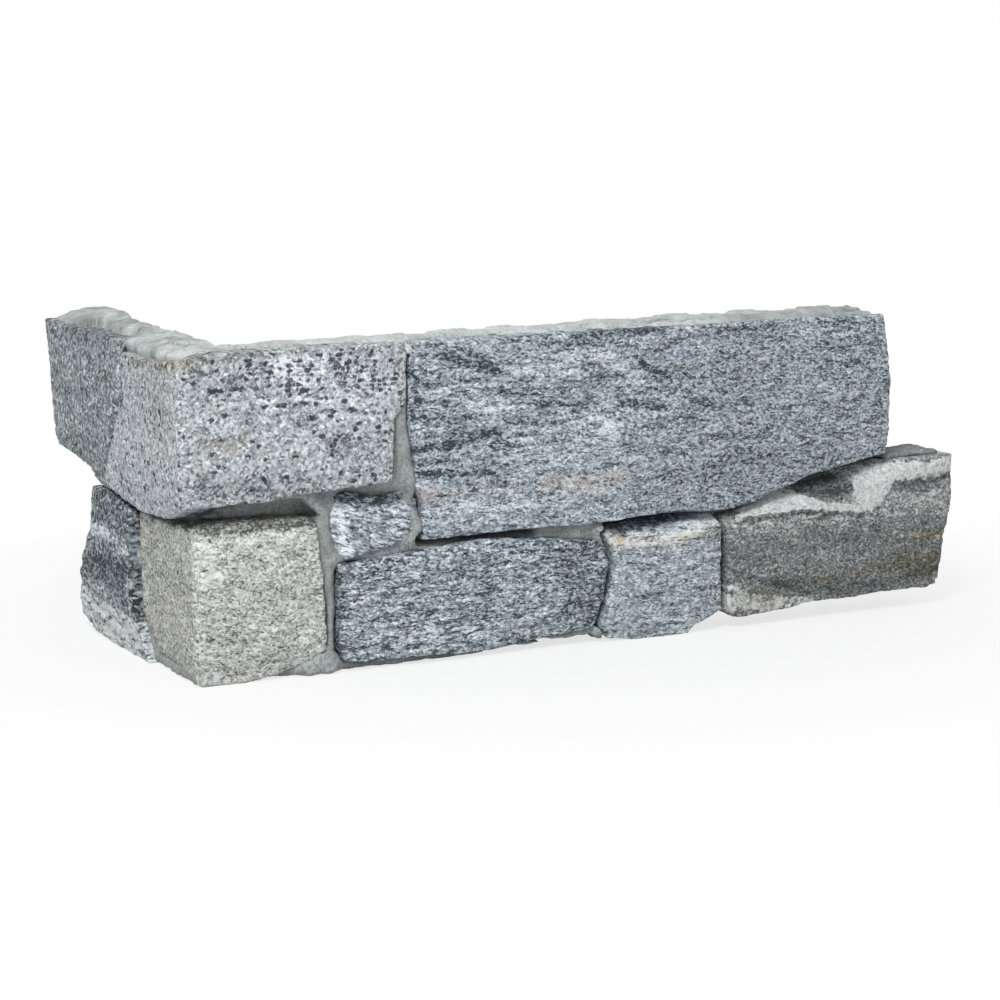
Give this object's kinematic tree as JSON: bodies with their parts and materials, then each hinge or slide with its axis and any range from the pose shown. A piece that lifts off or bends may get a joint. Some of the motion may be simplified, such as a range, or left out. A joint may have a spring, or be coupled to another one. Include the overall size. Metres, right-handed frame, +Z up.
{
  "type": "stone cladding corner piece",
  "caption": "L-shaped corner piece of split natural stone cladding: staggered grey stones set in two courses on a cement mortar back, with stepped ends.",
  "frame": {"origin": "the foot of the inner arris, where the flat back faces of the two legs meet, at the level the piece stands on", "axes": "+X along the long leg, +Y along the short leg, +Z up; the wall that is clad lies in +X and +Y, and the stone faces look to -Y and -X"},
  "size_m": [0.404, 0.2, 0.152],
  "materials": {
    "cement_mortar": "sandy, trowelled at the back, torn at the ends",
    "light_granite": "split face, coarse, with black mica spots",
    "grey_gneiss": "split face, fine grain with short dark streaks",
    "silver_gneiss": "split face, pale, with close banding",
    "beige_granite": "split face, sandy beige with fine dark specks",
    "dark_gneiss": "split face, dark, crinkled banding",
    "veined_gneiss": "split face, dark with white quartz veins"
  },
  "bodies": {
    "root": {"mortar_backing": "cement_mortar", "upper_corner_stone": "light_granite", "upper_long_stone": "grey_gneiss", "wedge_stone": "silver_gneiss", "lower_corner_stone": "beige_granite", "lower_middle_stone": "dark_gneiss", "lower_small_stone": "silver_gneiss", "lower_right_stone": "veined_gneiss", "upper_short_stone": "dark_gneiss", "lower_short_stone": "veined_gneiss"}
  },
  "joints": []
}
